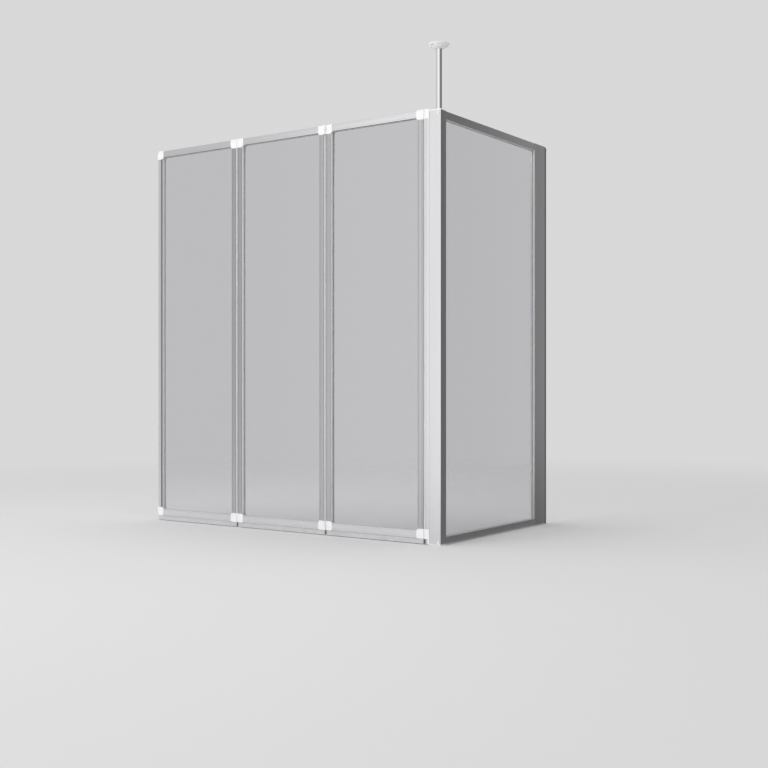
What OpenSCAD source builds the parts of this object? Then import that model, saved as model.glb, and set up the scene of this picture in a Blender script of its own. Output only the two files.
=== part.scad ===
// Folding bath screen: three framed glass panels that fold between a corner post and
// their free edge, with a fixed framed side panel that runs back to a wall profile and
// a support pole that ties the corner post to the ceiling.
//
// Frame of the model: origin at the centre of the corner post's foot, +Z up. The folding
// front lies along -X, the side panel along +Y. Its outer face looks to +X.

/* [Overall] */
// Height from the rim to the top of the post
screen_h = 1400; // [1200:5:1600]
// Distance from the front of the post to the wall
side_depth = 742; // [600:1:900]
// Length of pole that shows between the post and the ceiling flange
pole_show = 195; // [80:5:600]

/* [Corner post] */
// Width of the post, along the front
post_w = 44.5; // [38:0.5:60]
// Depth of the post, towards the wall
post_d = 33; // [31:0.5:50]
// Wall of the post
post_wall = 2; // [1.6:0.1:3]
// Corner radius of the post
post_r = 2.5; // [1:0.5:4]
// Thickness of the plastic plates that close the post
cap_t = 4; // [3:0.5:8]
// Length of the tenons that hold the plates in the post
cap_tenon = 10; // [6:1:20]

/* [Folding panels] */
// Width of one folding panel
panel_w = 399; // [300:1:500]
// Depth of the panel frame, front to back
panel_t = 20; // [18:0.5:26]
// Gap between the stiles of two neighbours
seam_gap = 4; // [3:0.1:6]
// Width of a panel's upright profile
stile_w = 25; // [24:0.5:34]
// Height of a panel's top and bottom profile
rail_h = 24; // [24:0.5:34]
// Height of the frame above the rim
panel_lift = 18; // [10:0.5:20]
// Height of the frame's top above the top of the post
panel_rise = 4; // [0:0.5:8]
// Width of the fixed stile beside the post
fixed_stile_w = 18; // [18:0.5:40]

/* [Profiles] */
// Wall of the aluminium profiles
wall_t = 1.6; // [1.2:0.1:2]
// Wall at the seam edge, which holds the seal groove
seam_wall = 3; // [2.6:0.1:4]
// Depth of the glass channel in the folding panels
channel_d = 11; // [8:0.5:12]
// Chamfer along the edges of the profiles
edge_c = 0.8; // [0.4:0.1:1.5]
// Width of the decorative lines in the faces
line_w = 1.2; // [0.8:0.1:2]
// Depth of the decorative lines
line_d = 0.7; // [0.3:0.1:1]
// Distance from the seam edge to the outer decorative line
line_outer = 5.5; // [4:0.5:7]
// Distance from the seam edge to the inner decorative line
line_inner = 20; // [17:0.5:22]
// Distance from the free edge to the middle of the wide flute
flute_at = 19; // [14:0.5:19]
// Width of the wide flute in the free stile
flute_w = 9; // [6:0.5:10]
// Depth of that flute
flute_d = 3; // [2:0.1:3.4]

/* [Glass and seals] */
// Thickness of the glass
glass_t = 3; // [3:0.5:5]
// Rubber on each side of the glass
rubber_t = 1.5; // [1:0.1:2]
// Rubber that shows beside a profile
lip_w = 1.6; // [1.2:0.1:3]
// Thickness of that rubber lip
lip_t = 2; // [1:0.1:2.5]
// Width of the bead that closes a seam
bead_w = 2.6; // [2:0.1:2.8]
// Depth of the bead, front to back
bead_d = 4.6; // [3:0.1:6]
// Reach of the soft lip on the free edge
free_lip = 3; // [2:0.5:8]
// Width of that lip, front to back
free_lip_d = 8; // [4:0.5:12]
// Gap between the wiper lips and the rim
rim_gap = 1; // [0.5:0.1:2]

/* [Hinge blocks] */
// Height of a block
block_h = 31.5; // [30:0.5:50]
// How far a block stands proud of the profiles, front and back
proud = 1.5; // [1:0.1:3]
// Gap between the two blocks of a hinge
block_gap = 1.2; // [0.8:0.1:2]
// How far a block reaches past its stile towards the glass
block_over = 3; // [1:0.1:5]
// Distance from the outer end of a block to its rail
rail_inset = 0.5; // [0.3:0.1:5]
// Radius of the knuckles
knuckle_r = 5; // [4:0.25:6]
// Radius of the hinge pins
pin_r = 2; // [1.5:0.25:3]
// Distance from the block's face to the hinge axis
axis_out = 0.75; // [0.6:0.05:1.5]
// Length of the tenons in the profiles
tenon_l = 18; // [10:1:40]

/* [Side panel] */
// Depth of the side frame, across the glass
side_t = 20; // [18:0.5:26]
// Height of the side rails
side_rail_h = 27; // [25:0.5:40]
// Depth of the glass channels in the side frame and the post
side_channel_d = 10; // [8:0.5:10]
// Width of the solid bar of the wall stile
stile_bar = 16; // [14:0.5:24]
// Width of the hollow part of the wall stile, which slides over the wall profile
stile_sleeve = 64; // [50:1:100]
// Part of the wall profile that shows
wall_show = 18; // [15:1:30]
// Full depth of the wall profile
wall_profile_d = 58; // [40:1:70]
// Radius on the wall profile's outer edges
wall_edge_r = 3; // [1:0.5:4]
// Radius on the top corner of the wall profile's cap
cap_corner_r = 10; // [4:1:11]

/* [Ceiling support] */
// Distance of the pole's axis from the middle of the post, away from the folding front
pole_x = 5; // [0:0.5:10]
// Radius of the pole
pole_r = 10; // [8:0.5:12]
// Wall of the pole
pole_wall = 1.5; // [1:0.1:3]
// Length of the spigot that the pole sits on
spigot_l = 45; // [20:1:70]
// Radius of the ceiling flange
flange_r = 35; // [33:1:60]
// Height of the ceiling flange
flange_h = 16; // [16:1:30]
// Depth of the socket that takes the pole
socket_d = 12; // [8:0.5:12]
// Diameter of the circle of screw holes
flange_pcd = 54; // [50:1:60]
// Radius of the flange's screw holes
flange_hole_r = 2.25; // [1.5:0.25:3]
// Turn of the first hole about the pole
flange_turn = 15; // [0:5:120]

/* [Fasteners] */
// Radius of the self-tapping screws
screw_r = 1.6; // [1.2:0.1:2]
// Radius of their heads
head_r = 3; // [2.4:0.1:3.2]
// Height of their heads
head_h = 2.4; // [1.6:0.1:3]
// Length of thread in the profile
thread_l = 20; // [12:1:40]
// Radius of the holes for the wall screws
wall_hole_r = 2.5; // [2:0.25:3.5]
// Distance between the screws that lock the side panel and the fixed stile
lock_pitch = 560; // [300:10:560]
// Distance between the holes for the wall screws
wall_hole_pitch = 500; // [300:10:550]
// Radius of the white covers over the long screws
cover_r = 4.5; // [4:0.1:6]
// Height of the covers
cover_h = 1.2; // [0.6:0.1:1.4]

/* [Hidden] */
$fn = 48;
// Overlap that keeps two cuts or two joined solids from sharing a face
e = 0.01;
// Clearances: fixed parts, running pins, the sleeve on the wall profile, the knuckles
fit = 0.05;
play = 0.06;
slide_fit = 0.3;
knuckle_play = 0.4;
// Distance from a block's face to the seat of a screw head
head_room = head_h + 0.6;

post_front = -post_d / 2;
front_y = post_front + proud;
channel_w = glass_t + 2 * rubber_t;
glass_v = panel_t / 2;
fixed_edge = -post_w / 2 - fixed_stile_w;
pitch = panel_w + seam_gap;
seam_x = [for (i = [0:2]) fixed_edge - seam_gap / 2 - i * pitch];
panel_x = [for (i = [0:2]) fixed_edge - (i + 1) * pitch];
axis_front = -proud - axis_out;
axis_back = panel_t + proud + axis_out;
block_reach = (seam_gap - block_gap) / 2;
block_w = block_reach + stile_w + block_over;
block_d = panel_t + 2 * proud;
frame_z0 = panel_lift + block_h;
frame_top = screen_h + panel_rise;
frame_z1 = frame_top - block_h;
channel_u = stile_w - channel_d;
channel_rail = rail_h - channel_d;
// Gap between the gasket and the bottom of a glass channel
edge_gap = 0.5;
glass_in = channel_u + edge_gap + rubber_t;
glass_z = rail_inset + channel_rail + edge_gap + rubber_t;
boss_r = screw_r + wall_t;
port_r = screw_r + fit;
// Room behind the stile's screw boss and in front of the rail's
boss_back = 1;
boss_front = 2.2;
stile_boss = [(seam_wall + channel_u - wall_t) / 2, panel_t - wall_t - boss_r - boss_back];
rail_boss = [channel_rail / 2, wall_t + boss_r + boss_front];
groove_v = 1.7;
groove_w = 2;
groove_d = 1.6;
// Slot in the bottom rail for the wiper's foot, between the boss and its web
slot_v = rail_boss[1] + (boss_r + wall_t / 2) / 2;
slot_w = boss_r - wall_t / 2;
// Part of a gasket's lips that lies inside the profile
lip_root = 1;
bead_v = 0.2;
bead_r = 1.2;

// Radii of a block's face: seam side outer, glass side outer, glass side inner, seam inner
hinge_corner = [1, 4, 9, 1];
free_corner = [12, 4, 9, 1];
fixed_corner = [1, 1, 1, 1];
knuckle_h = (block_h - knuckle_play) / 2;
pin_inset = 1;

wiper_base = 3;
wiper_in = 2.5;
wiper_lip = 1.8;
wiper_step = 2;
wiper_foot = 0.6;
// Distance from the ends of a seal to the edges of its panel
seal_inset = 2;
// Width of the plastic foot that carries the fixed stile
fixed_leg = 6;

side_y0 = post_d / 2;
side_y1 = side_depth - post_d / 2;
sleeve_end = side_y1 - wall_show;
sleeve_start = sleeve_end - stile_sleeve;
bar_start = sleeve_start - stile_bar;
side_x0 = post_w / 2 - side_t;
side_x = post_w / 2 - side_t / 2;
post_top = screen_h - cap_t;
side_glass_z = side_rail_h - side_channel_d + edge_gap + rubber_t;
side_boss = (side_rail_h - side_channel_d) / 2 + 1;
channel_wall = side_x - channel_w / 2 - wall_t;
side_stop = side_y0 - side_channel_d - wall_t;
side_line_in = 3;
sleeve_wall = 1.8;
profile_wall = 1.8;
wall_profile_x0 = side_x0 + sleeve_wall + slide_fit;
wall_profile_w = side_t - 2 * (sleeve_wall + slide_fit);
wall_cap_h = 12;
lock_y = sleeve_end - 16;
lock_z = [for (i = [-1:1]) screen_h / 2 + i * lock_pitch];
// Thread of a locking screw past the last wall that it goes through
lock_thread = 5;
// Step of a cover's plug from its rim, and the plug's length behind the wall
cover_step = 0.5;
cover_grip = 1;
flange_z = screen_h + pole_show;
flange_neck = 2.5;
flange_rim = 3;
// Facets of the dome under the flange, and the power by which it rises to the rim
dome_steps = 6;
dome_curve = 1.7;
grub_z = flange_z + socket_d / 2;
grub_r = 2;
grub_l = 7;
grub_key_r = 1.15;

ALU = [0.80, 0.80, 0.82];
ALU_SIDE = [0.62, 0.62, 0.64];
WHITE = [0.96, 0.96, 0.96];
GLASS = [0.78, 0.80, 0.84, 0.35];
RUBBER = [0.30, 0.30, 0.31];
SEAL = [0.86, 0.87, 0.88];
STEEL = [0.55, 0.56, 0.58];
CHROME = [0.88, 0.89, 0.90];

// Small helpers

// Copies the children at both ends of the frame: the lower end as drawn, with z = 0 at
// its outer face, and the upper end mirrored.
module both_ends() {
    translate([0, 0, panel_lift]) children();
    translate([0, 0, frame_top]) mirror([0, 0, 1]) children();
}

// Lays a section drawn in [height, depth] along X: height goes to Z, depth stays on Y.
module along_x(length) {
    mirror([1, 0, -1]) linear_extrude(length) children();
}

// Lays a section drawn in [x, height] along Y.
module along_y(length) {
    translate([0, length, 0]) rotate([90, 0, 0]) linear_extrude(length) children();
}

// Places a panel's parts: x = 0 at its left edge, y = 0 on its front face.
module panel_frame(i) {
    translate([panel_x[i], front_y, 0]) children();
}

// Turns a left-hand part of a panel into its right-hand partner.
module right_hand() {
    translate([panel_w, 0, 0]) mirror([1, 0, 0]) children();
}

// Rectangle with a radius of its own at each corner: [0,0], [w,0], [w,h], [0,h].
module cornered(w, h, r) {
    difference() {
        square([w, h]);
        for (k = [0:3]) if (r[k] > 0)
            translate([(k == 1 || k == 2) ? w : 0, k > 1 ? h : 0])
                mirror([(k == 1 || k == 2) ? 1 : 0, 0]) mirror([0, k > 1 ? 1 : 0])
                    translate([-e, -e]) difference() {
                        square(r[k] + e);
                        translate([r[k] + e, r[k] + e]) circle(r = r[k] + e);
                    }
    }
}

// Rectangle with chamfered corners.
module chamfered(w, h, c) {
    polygon([[c, 0], [w - c, 0], [w, c], [w, h - c],
             [w - c, h], [c, h], [0, h - c], [0, c]]);
}

// Cross-head screw that points along -Z, with the seat of its head at z = 0.
module screw(length) {
    difference() {
        union() {
            cylinder(r = head_r, h = head_h);
            translate([0, 0, -length]) cylinder(r = screw_r, h = length + e);
        }
        for (turn = [0, 90])
            rotate([0, 0, turn])
                translate([-head_r / 2, -head_r / 8, head_h / 2])
                    cube([head_r, head_r / 4, head_h]);
    }
}

// ==== Profiles

// Hollow part of a profile between u0 and u1, with a screw boss on a web.
module chamber(u0, u1, t, boss, v0 = wall_t) {
    difference() {
        translate([u0, v0]) square([u1 - u0, t - v0 - wall_t]);
        translate(boss) circle(r = boss_r);
        translate([u0 - e, boss[1] - wall_t / 2]) square([boss[0] - u0, wall_t]);
    }
    translate(boss) circle(r = port_r);
}

// Closed chambers on both sides of a glass channel that opens at u = w.
module side_chambers(w, t, depth) {
    v1 = t / 2 - channel_w / 2 - wall_t;
    if (v1 > 1.5 * wall_t)
        for (v = [wall_t, t - v1])
            translate([w - depth, v]) square([depth - wall_t, v1 - wall_t]);
}

// Decorative line in the front face of a profile.
module face_line(u) {
    translate([u - line_w / 2, -e]) square([line_w, line_d + e]);
}

// Upright profile of a folding panel, [u, v]: u = 0 at the seam, v = 0 at the front.
module stile_section(grooved) {
    difference() {
        chamfered(stile_w, panel_t, edge_c);
        translate([channel_u, glass_v - channel_w / 2]) square([channel_d + e, channel_w]);
        chamber(seam_wall, channel_u - wall_t, panel_t, stile_boss);
        side_chambers(stile_w, panel_t, channel_d);
        face_line(line_outer);
        face_line(line_inner);
        if (grooved) seal_groove();
    }
}

// Upright profile of the free edge, with the wide flute in its face.
module free_section() {
    difference() {
        chamfered(stile_w, panel_t, edge_c);
        translate([channel_u, glass_v - channel_w / 2]) square([channel_d + e, channel_w]);
        chamber(seam_wall, channel_u - wall_t, panel_t, stile_boss, flute_d + wall_t);
        translate([flute_at - flute_w / 2, -e]) square([flute_w, flute_d + e]);
        face_line(line_outer);
        edge_groove();
    }
}

// Groove that holds the bead of a seam, near the front of the seam edge.
module seal_groove() {
    translate([-e, groove_v]) square([groove_d + e, groove_w]);
}

// Groove that holds the soft lip of the free edge.
module edge_groove() {
    translate([-e, glass_v - groove_w / 2]) square([groove_d + e, groove_w]);
}

// Top or bottom profile of a folding panel, [height, depth]: 0 at its outer edge.
module rail_section(slotted) {
    difference() {
        chamfered(rail_h, panel_t, edge_c);
        translate([channel_rail, glass_v - channel_w / 2])
            square([channel_d + e, channel_w]);
        chamber(wall_t, channel_rail - wall_t, panel_t, rail_boss);
        side_chambers(rail_h, panel_t, channel_d);
        if (slotted)
            translate([-e, slot_v - slot_w / 2]) square([wall_t + 2 * e, slot_w]);
    }
}

module panel_stile(grooved) {
    color(ALU) translate([0, 0, frame_z0]) linear_extrude(frame_z1 - frame_z0)
        stile_section(grooved);
}

module panel_rail(slotted) {
    from = block_w - block_reach;
    color(ALU) translate([from, 0, 0]) along_x(panel_w - 2 * from) rail_section(slotted);
}

module top_rail() {
    translate([0, 0, frame_top - rail_inset]) mirror([0, 0, 1]) panel_rail(false);
}

module bottom_rail() {
    translate([0, 0, panel_lift + rail_inset]) panel_rail(true);
}

// ==== Glass and gaskets

module panel_glass() {
    color(GLASS) translate([glass_in, glass_v - glass_t / 2, panel_lift + glass_z])
        cube([panel_w - 2 * glass_in, glass_t, frame_top - panel_lift - 2 * glass_z]);
}

// Rubber channel round a glass edge, [u, v]: inside a profile that is w wide, with the
// glass starting at u = start.
module gasket_section(w, start, centre, lips) {
    difference() {
        union() {
            translate([start - rubber_t, centre - channel_w / 2])
                square([w - start + rubber_t, channel_w]);
            if (lips)
                translate([w, centre - glass_t / 2 - lip_t])
                    square([lip_w, glass_t + 2 * lip_t]);
        }
        translate([start, centre - glass_t / 2]) square([w - start + lip_w + e, glass_t]);
    }
}

module panel_gasket() {
    block_side = block_w - block_reach;
    glass_h = frame_top - panel_lift - 2 * glass_z;
    color(RUBBER) for (hand = [0, 1])
        translate([hand * panel_w, 0, 0]) mirror([hand, 0, 0]) {
            translate([0, 0, panel_lift + glass_z]) linear_extrude(glass_h)
                gasket_section(stile_w, glass_in, glass_v, false);
            translate([0, 0, frame_z0]) linear_extrude(frame_z1 - frame_z0)
                difference() {
                    gasket_section(stile_w, glass_in, glass_v, true);
                    square([stile_w - lip_root, panel_t]);
                }
        }
    color(RUBBER) both_ends() {
        translate([stile_w, 0, rail_inset]) along_x(panel_w - 2 * stile_w)
            gasket_section(rail_h, glass_z - rail_inset, glass_v, false);
        translate([block_side, 0, rail_inset]) along_x(panel_w - 2 * block_side)
            difference() {
                gasket_section(rail_h, glass_z - rail_inset, glass_v, true);
                square([rail_h - lip_root, panel_t]);
            }
    }
}

// ==== Hinge blocks

// Tenon that fills the free part of a profile's chamber.
module stile_tenon() {
    u1 = channel_u - wall_t - fit;
    v1 = stile_boss[1] - boss_r - fit;
    translate([seam_wall + fit, flute_d + wall_t + fit, block_h - e])
        cube([u1 - seam_wall - fit, v1 - flute_d - wall_t - fit, tenon_l + e]);
}

module rail_tenon() {
    v0 = rail_boss[1] + boss_r + fit;
    translate([block_w - block_reach - e, v0, rail_inset + wall_t + fit])
        cube([tenon_l + e, panel_t - wall_t - fit - v0, channel_rail - 2 * wall_t - 2 * fit]);
}

// One plastic block, drawn at the lower left corner of a panel: x = 0 at the stile's
// seam edge and z = 0 at the block's outer end. corner gives the four radii of its
// face, axis the hinge axis' depth (or undef), outer says that its knuckle is the one
// at the outer end, and rail says that a rail joins it.
module block(corner, axis, outer, rail, width = block_w) {
    own = outer ? 0 : block_h - knuckle_h;
    other = outer ? block_h - knuckle_h - knuckle_play : -e;
    hinge_u = -seam_gap / 2;
    difference() {
        union() {
            translate([-block_reach, -proud, 0]) along_y(block_d)
                cornered(width, block_h, corner);
            if (axis != undef) translate([hinge_u, axis, own])
                cylinder(r = knuckle_r, h = knuckle_h);
            stile_tenon();
            if (rail) rail_tenon();
        }
        if (axis != undef) {
            translate([hinge_u, axis, other])
                cylinder(r = knuckle_r + knuckle_play, h = knuckle_h + knuckle_play + e);
            translate([hinge_u, axis, outer ? -e : -pin_r])
                cylinder(r = pin_r + (outer ? play : fit / 2), h = block_h);
        }
        if (rail) {
            translate([channel_u, glass_v - channel_w / 2, rail_inset + channel_rail])
                cube([width, channel_w, block_h]);
            translate([-block_reach - e, rail_boss[1], rail_inset + rail_boss[0]])
                rotate([0, 90, 0]) {
                    cylinder(r = screw_r + fit, h = width + 2 * e);
                    cylinder(r = head_r + fit, h = head_room + e);
                }
        }
        translate([stile_boss[0], stile_boss[1], -e]) {
            cylinder(r = screw_r + fit, h = block_h + 2 * e);
            cylinder(r = head_r + fit, h = head_room + e);
        }
    }
}

module left_blocks(axis, outer, corner = hinge_corner) {
    color(WHITE) both_ends() block(corner, axis, outer, true);
}

// The two screws of each block, seated as the block's holes are.
module corner_screws(rail) {
    color(STEEL) both_ends() {
        translate([stile_boss[0], stile_boss[1], head_room])
            mirror([0, 0, 1]) screw(block_h - head_room + thread_l);
        if (rail)
            translate([head_room - block_reach, rail_boss[1], rail_inset + rail_boss[0]])
                rotate([0, -90, 0]) screw(block_w - head_room + thread_l);
    }
}

module panel_screws() {
    corner_screws(true);
    right_hand() corner_screws(true);
}

// Steel pins of a seam, pressed into the knuckles on its right.
module hinge_pins(seam, axis) {
    color(STEEL) both_ends()
        translate([seam_x[seam], front_y + axis, pin_inset])
            cylinder(r = pin_r, h = block_h - pin_r - pin_inset);
}

// ==== Seals

// Bead that closes a seam, [u, v]: its foot sits in the seal groove.
module bead_section() {
    translate([0, groove_v + fit]) square([groove_d - fit, groove_w - 2 * fit]);
    translate([-bead_w, bead_v]) cornered(bead_w, bead_d, [bead_r, 0, 0, bead_r]);
}

module seam_seal() {
    color(SEAL) translate([0, 0, frame_z0]) linear_extrude(frame_z1 - frame_z0)
        bead_section();
}

// Soft lip on the free edge.
module edge_seal() {
    color(SEAL) translate([0, 0, frame_z0]) linear_extrude(frame_z1 - frame_z0) {
        translate([0, glass_v - groove_w / 2 + fit])
            square([groove_d - fit, groove_w - 2 * fit]);
        translate([-free_lip, glass_v - free_lip_d / 2])
            cornered(free_lip, free_lip_d, [bead_r, 0, 0, bead_r]);
    }
}

// Wiper below a panel, [height, depth]: two soft lips on a base.
module wiper_section() {
    translate([panel_lift - wiper_base, wiper_in])
        square([wiper_base, panel_t - 2 * wiper_in]);
    for (v = [wiper_in, panel_t - wiper_in - wiper_lip])
        translate([rim_gap, v]) square([panel_lift - rim_gap - wiper_base + e, wiper_lip]);
}

// Part of the wiper that sits in the bottom rail.
module wiper_top() {
    translate([panel_lift - e, wiper_in + wiper_step])
        square([rail_inset + e, panel_t - 2 * (wiper_in + wiper_step)]);
    translate([panel_lift + rail_inset - e, slot_v - slot_w / 2 + fit])
        square([wall_t + wiper_foot, slot_w - 2 * fit]);
}

module bottom_seal() {
    side = block_w - block_reach;
    color(SEAL) {
        translate([seal_inset, 0, 0]) along_x(panel_w - 2 * seal_inset) wiper_section();
        translate([side, 0, 0]) along_x(panel_w - 2 * side) wiper_top();
    }
}

// ==== Corner post

// Area of the post that takes the plates' tenons.
module tenon_area(gap) {
    x0 = -post_w / 2 + post_wall + gap;
    translate([x0, post_front + post_wall + gap])
        square([channel_wall - gap - x0, post_d - 2 * post_wall - 2 * gap]);
}

module post_outline() {
    translate([-post_w / 2, post_front])
        cornered(post_w, post_d, [post_r, post_r, post_r, post_r]);
}

module corner_post() {
    color(ALU) difference() {
        translate([0, 0, cap_t]) linear_extrude(post_top - cap_t) difference() {
            post_outline();
            tenon_area(0);
            translate([channel_wall - e, post_front + post_wall])
                square([post_w / 2 - post_wall - channel_wall + e,
                        side_stop - post_front - post_wall]);
            translate([side_x - channel_w / 2, side_y0 - side_channel_d])
                square([channel_w, side_channel_d + e]);
        }
        for (z = [side_boss, post_top - side_boss])
            translate([side_x, post_front - e, z]) rotate([-90, 0, 0]) {
                cylinder(r = cover_r - cover_step, h = post_wall + 2 * e);
                cylinder(r = screw_r + fit, h = post_d);
            }
        for (z = lock_z)
            translate([-post_w / 2 - e, front_y + panel_t / 2, z]) rotate([0, 90, 0])
                cylinder(r = screw_r + fit, h = post_wall + 2 * e);
    }
}

// Plate that closes the post, with its tenon upwards.
module post_plate() {
    linear_extrude(cap_t) post_outline();
    translate([0, 0, cap_t - e]) linear_extrude(cap_tenon + e) tenon_area(fit);
}

module post_top_cap() {
    color(WHITE) union() {
        translate([0, 0, screen_h]) mirror([0, 0, 1]) post_plate();
        translate([pole_x, 0, screen_h - e])
            cylinder(r = pole_r - pole_wall - fit, h = spigot_l + e);
    }
}

module post_foot_cap() {
    color(WHITE) post_plate();
}

// ==== Ceiling support

module support_pole() {
    color(CHROME) translate([pole_x, 0, screen_h]) difference() {
        cylinder(r = pole_r, h = pole_show + socket_d);
        translate([0, 0, -e]) cylinder(r = pole_r - pole_wall, h = pole_show + socket_d + 2 * e);
    }
}

// White saucer under the ceiling: a neck round the pole, a cone and a flat rim.
// Shallow dome of the flange, [radius, height] from the neck to the rim.
function dome(from, to, rise) = [for (k = [0:dome_steps])
    [from + k / dome_steps * (to - from), rise * pow(k / dome_steps, dome_curve)]];

module ceiling_flange() {
    neck = pole_r + flange_neck;
    rim = flange_rim;
    color(WHITE) translate([pole_x, 0, 0]) difference() {
        translate([0, 0, flange_z]) rotate_extrude()
            polygon(concat([[0, socket_d + fit], [pole_r + fit, socket_d + fit],
                            [pole_r + fit, 0]],
                           dome(neck, flange_r - 1, flange_h - rim),
                           [[flange_r, flange_h - rim + 1], [flange_r, flange_h - 1],
                            [flange_r - 1, flange_h], [0, flange_h]]));
        for (k = [0:2])
            rotate([0, 0, flange_turn + k * 120]) translate([flange_pcd / 2, 0, flange_z]) {
                cylinder(r = flange_hole_r, h = flange_h + e);
                cylinder(r = 2 * flange_hole_r, h = flange_h - rim - flange_hole_r);
                translate([0, 0, flange_h - rim - flange_hole_r - e])
                    cylinder(r1 = 2 * flange_hole_r, r2 = flange_hole_r, h = flange_hole_r);
            }
        translate([0, 0, grub_z]) rotate([-90, 0, 0]) cylinder(r = grub_r + fit, h = flange_r);
    }
}

module flange_grub_screw() {
    color(STEEL) translate([pole_x, pole_r, grub_z]) rotate([-90, 0, 0]) difference() {
        cylinder(r = grub_r, h = grub_l);
        translate([0, 0, grub_l - grub_r]) cylinder(r = grub_key_r, h = grub_r + e, $fn = 6);
    }
}

// ==== Fixed hinge stile

module fixed_stile_at() {
    translate([fixed_edge, front_y, 0]) children();
}

module fixed_stile() {
    color(ALU) fixed_stile_at() difference() {
        translate([0, 0, frame_z0]) linear_extrude(frame_z1 - frame_z0) difference() {
            chamfered(fixed_stile_w, panel_t, edge_c);
            chamber(seam_wall, fixed_stile_w - 2 * wall_t, panel_t, stile_boss);
            seal_groove();
            face_line(line_outer);
        }
        for (z = lock_z)
            translate([-e, panel_t / 2, z]) rotate([0, 90, 0]) {
                cylinder(r = screw_r + fit, h = fixed_stile_w + 2 * e);
                cylinder(r = head_r + cover_step, h = fixed_stile_w - 2 * wall_t);
            }
    }
}

module fixed_stile_screws() {
    color(STEEL) fixed_stile_at() for (z = lock_z)
        translate([fixed_stile_w - 2 * wall_t, panel_t / 2, z]) rotate([0, -90, 0])
            screw(2 * wall_t + post_wall + lock_thread);
}

module fixed_hinge_blocks() {
    color(WHITE) fixed_stile_at() {
        both_ends() block(fixed_corner, axis_back, false, false,
                          fixed_stile_w + block_reach);
        translate([fixed_stile_w - fixed_leg, -proud, rim_gap])
            cube([fixed_leg, block_d, panel_lift - rim_gap + e]);
    }
}

module fixed_block_screws() {
    fixed_stile_at() corner_screws(false);
}

module fixed_rim_seal() {
    color(SEAL) fixed_stile_at() translate([seal_inset, 0, 0])
        along_x(fixed_stile_w - fixed_leg - 2 * seal_inset) wiper_section();
}

// ==== Side panel

// Top or bottom rail of the side panel, [x, height] with 0 at its outer edge.
module side_rail_section() {
    mid = side_t / 2;
    depth = side_channel_d;
    top = side_rail_h - depth - wall_t;
    difference() {
        chamfered(side_t, side_rail_h, edge_c);
        translate([mid - channel_w / 2, side_rail_h - depth]) square([channel_w, depth + e]);
        difference() {
            translate([wall_t, wall_t]) square([side_t - 2 * wall_t, top - wall_t]);
            translate([mid, side_boss]) circle(r = boss_r);
            translate([mid - wall_t / 2, side_boss]) square([wall_t, top - side_boss + e]);
        }
        translate([mid, side_boss]) circle(r = port_r);
    }
}

module side_bottom_rail() {
    color(ALU_SIDE) translate([side_x0, side_y0, 0]) along_y(bar_start - side_y0)
        side_rail_section();
}

module side_top_rail() {
    translate([0, 0, post_top]) mirror([0, 0, 1]) side_bottom_rail();
}

// Wide stile at the wall: a solid bar with the glass channel, and two long flanges
// that slide over the wall profile.
module side_wall_stile() {
    color(ALU_SIDE) translate([side_x0, bar_start, 0]) difference() {
        linear_extrude(post_top) difference() {
            chamfered(side_t, stile_bar + stile_sleeve, edge_c / 2);
            translate([side_t / 2 - channel_w / 2, -e]) square([channel_w, side_channel_d + e]);
            translate([sleeve_wall, stile_bar])
                square([side_t - 2 * sleeve_wall, stile_sleeve + e]);
            for (x = [-e, side_t - line_d])
                translate([x, stile_bar - side_line_in]) square([line_d + e, 2 * line_w]);
        }
        for (z = [side_boss, post_top - side_boss])
            translate([side_t / 2, side_channel_d - e, z]) rotate([-90, 0, 0])
                cylinder(r = screw_r + fit, h = stile_bar);
        for (z = lock_z)
            translate([-e, lock_y - bar_start, z]) rotate([0, 90, 0])
                cylinder(r = screw_r + fit, h = sleeve_wall + 2 * e);
    }
}

module side_glass() {
    y0 = side_y0 - side_channel_d + edge_gap + rubber_t;
    y1 = bar_start + side_channel_d - edge_gap - rubber_t;
    color(GLASS) translate([side_x - glass_t / 2, y0, side_glass_z])
        cube([glass_t, y1 - y0, post_top - 2 * side_glass_z]);
}

// Section of the side gasket, [across, along]: the glass starts at height start.
module side_gasket_section(w, start, centre, lips) {
    rotate([0, 0, 90]) mirror([0, 1]) gasket_section(w, start, centre, lips);
}

module side_gasket() {
    start = edge_gap + rubber_t;
    glass_h = post_top - 2 * side_glass_z;
    gasket_z = side_rail_h;
    module upright(lips) {
        translate([side_x0, 0, 0])
            side_gasket_section(side_channel_d, start, side_t / 2, lips);
    }
    module lips_only(w) {
        difference() {
            children();
            translate([side_x0, 0]) square([side_t, w - lip_root]);
        }
    }
    color(RUBBER) {
        for (hand = [0, 1])
            translate([0, hand == 0 ? side_y0 - side_channel_d : bar_start + side_channel_d, 0])
                mirror([0, hand, 0]) {
                    translate([0, 0, side_glass_z]) linear_extrude(glass_h) upright(false);
                    translate([0, 0, gasket_z]) linear_extrude(post_top - 2 * gasket_z)
                        lips_only(side_channel_d) upright(true);
                }
        for (top = [0, 1])
            translate([0, 0, top * post_top]) mirror([0, 0, top])
                translate([side_x0, side_y0, side_rail_h - side_channel_d])
                    along_y(bar_start - side_y0) side_gasket_lying();
    }
}

// Lying strip of the side gasket, flush with the rail, so it has no lips.
module side_gasket_lying() {
    side_gasket_section(side_channel_d, edge_gap + rubber_t, side_t / 2, false);
}

module side_rail_screws() {
    color(STEEL) for (z = [side_boss, post_top - side_boss]) {
        translate([side_x, side_stop, z]) rotate([90, 0, 0])
            screw(side_y0 - side_stop + thread_l);
        translate([side_x, sleeve_start, z]) rotate([-90, 0, 0])
            screw(stile_bar + thread_l);
    }
}

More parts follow.
